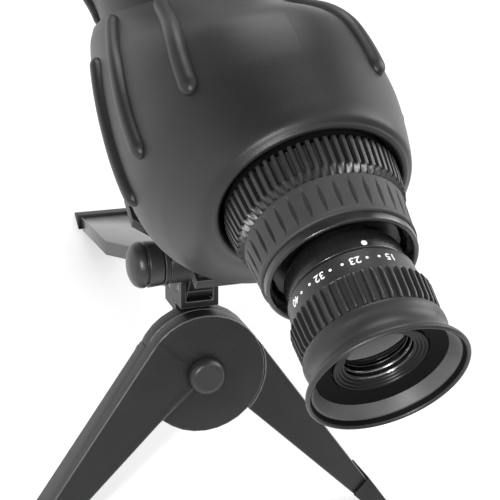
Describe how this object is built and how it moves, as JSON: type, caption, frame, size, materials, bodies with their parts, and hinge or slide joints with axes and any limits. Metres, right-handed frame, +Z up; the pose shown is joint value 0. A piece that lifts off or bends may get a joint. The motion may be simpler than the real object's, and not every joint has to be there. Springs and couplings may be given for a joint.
{
  "type": "spotting scope",
  "caption": "Compact straight-view zoom spotting scope in rubber armour, with a ribbed focus ring and flared eyecup, on a folding three-legged table tripod.",
  "frame": {"origin": "centre of the bounding box at the base, on the table plane under the middle of the scope", "axes": "+Y from the eyepiece to the objective, +Z up, +X to the user's right; the feet stand on z = 0"},
  "size_m": [0.1602, 0.25, 0.2291],
  "materials": {
    "armour_rubber": "matte, fine grain",
    "soft_rubber": "matte, smooth",
    "housing_plastic": "matte",
    "ring_plastic": "satin",
    "barrel_metal": "black anodised, satin",
    "optical_glass": "polished, coated",
    "brass": "turned",
    "leg_plastic": "matte, fine spark-eroded texture",
    "foot_rubber": "matte",
    "steel": "satin"
  },
  "bodies": {
    "tripod": {"hub_block": "leg_plastic", "hub_rivet": "leg_plastic", "rivet_washer": "steel", "neck_pin": "steel", "rear_pin": "steel"},
    "left_leg": {"left_leg": "leg_plastic", "left_foot": "foot_rubber"},
    "right_leg": {"right_leg": "leg_plastic", "right_foot": "foot_rubber"},
    "rear_leg": {"rear_leg": "leg_plastic", "rear_foot": "foot_rubber"},
    "neck": {"neck": "leg_plastic", "tilt_bolt": "steel", "tilt_nut": "steel", "tilt_washer": "barrel_metal"},
    "tilt_knob": {"tilt_knob": "leg_plastic"},
    "scope": {"head_plate": "leg_plastic", "plate_pad": "foot_rubber", "mount_foot": "armour_rubber", "thread_insert": "brass", "rear_armour": "armour_rubber", "prism_housing": "housing_plastic", "focus_thread": "barrel_metal", "front_armour": "armour_rubber", "objective_tube": "housing_plastic", "front_bezel": "ring_plastic", "objective_cell": "housing_plastic", "objective_crown": "optical_glass", "objective_flint": "optical_glass", "objective_spacer": "ring_plastic", "objective_retainer": "ring_plastic", "prism_plate": "barrel_metal", "front_prism": "optical_glass", "rear_prism": "optical_glass", "prism_clip_front": "steel", "prism_clip_rear": "steel"},
    "camera_screw": {"camera_screw": "steel"},
    "focus": {"focus_ring": "ring_plastic", "focus_grip": "soft_rubber", "tooth_ring": "ring_plastic"},
    "eyepiece": {"index_collar": "ring_plastic", "eyepiece_barrel": "barrel_metal", "eye_lens_ring": "ring_plastic", "eye_lens": "optical_glass", "field_stop": "ring_plastic"},
    "zoom": {"eyecup": "soft_rubber", "zoom_grip": "ring_plastic", "zoom_dial": "ring_plastic", "zoom_sleeve": "barrel_metal"},
    "zoom_rear": {"zoom_cell_rear": "barrel_metal", "zoom_lens_rear": "optical_glass"},
    "zoom_front": {"zoom_cell_front": "barrel_metal", "zoom_lens_front": "optical_glass"}
  },
  "joints": [
    {"name": "left_leg_fold", "type": "hinge", "parent": "tripod", "child": "left_leg", "pos_m": [0, -0.0315, 0.0704], "axis": [0, -0.8599, 0.5105], "range_deg": [0, 43]},
    {"name": "right_leg_fold", "type": "hinge", "parent": "tripod", "child": "right_leg", "pos_m": [0, -0.0315, 0.0704], "axis": [0, -0.8599, 0.5105], "range_deg": [-43, 0]},
    {"name": "rear_leg_fold", "type": "hinge", "parent": "tripod", "child": "rear_leg", "pos_m": [0, 0.00249, 0.08162], "axis": [1, 0, 0], "range_deg": [-78, 0]},
    {"name": "neck_fold", "type": "hinge", "parent": "tripod", "child": "neck", "pos_m": [0, -0.00647, 0.09101], "axis": [1, 0, 0], "range_deg": [-10, 15]},
    {"name": "tilt", "type": "hinge", "parent": "neck", "child": "scope", "pos_m": [0, -0.008, 0.1082], "axis": [1, 0, 0], "range_deg": [-15, 30]},
    {"name": "tilt_knob_turn", "type": "hinge", "parent": "neck", "child": "tilt_knob", "pos_m": [-0.022, -0.008, 0.1082], "axis": [1, 0, 0], "range_deg": [0, 360]},
    {"name": "camera_screw_turn", "type": "hinge", "parent": "scope", "child": "camera_screw", "pos_m": [0, 0.013, 0.113], "axis": [0, 0, 1], "continuous": true},
    {"name": "focus_turn", "type": "hinge", "parent": "scope", "child": "focus", "pos_m": [0, -0.079, 0.1986], "axis": [0, 1, 0], "range_deg": [0, 240]},
    {"name": "focus_travel", "type": "slide", "parent": "scope", "child": "eyepiece", "axis": [0, 1, 0], "range_m": [0, 0.0026]},
    {"name": "zoom_turn", "type": "hinge", "parent": "eyepiece", "child": "zoom", "pos_m": [0, -0.108, 0.1986], "axis": [0, 1, 0], "range_deg": [-16, 79]},
    {"name": "zoom_rear_travel", "type": "slide", "parent": "eyepiece", "child": "zoom_rear", "axis": [0, 1, 0], "range_m": [-0.0011, 0.005]},
    {"name": "zoom_front_travel", "type": "slide", "parent": "eyepiece", "child": "zoom_front", "axis": [0, 1, 0], "range_m": [-0.005, 0.0011]}
  ],
  "couplings": [
    {"joint": "focus_travel", "follows": "focus_turn", "m_per_rad": 0.0006},
    {"joint": "zoom_rear_travel", "follows": "zoom_turn", "m_per_rad": 0.0034},
    {"joint": "zoom_front_travel", "follows": "zoom_turn", "m_per_rad": -0.0035}
  ]
}
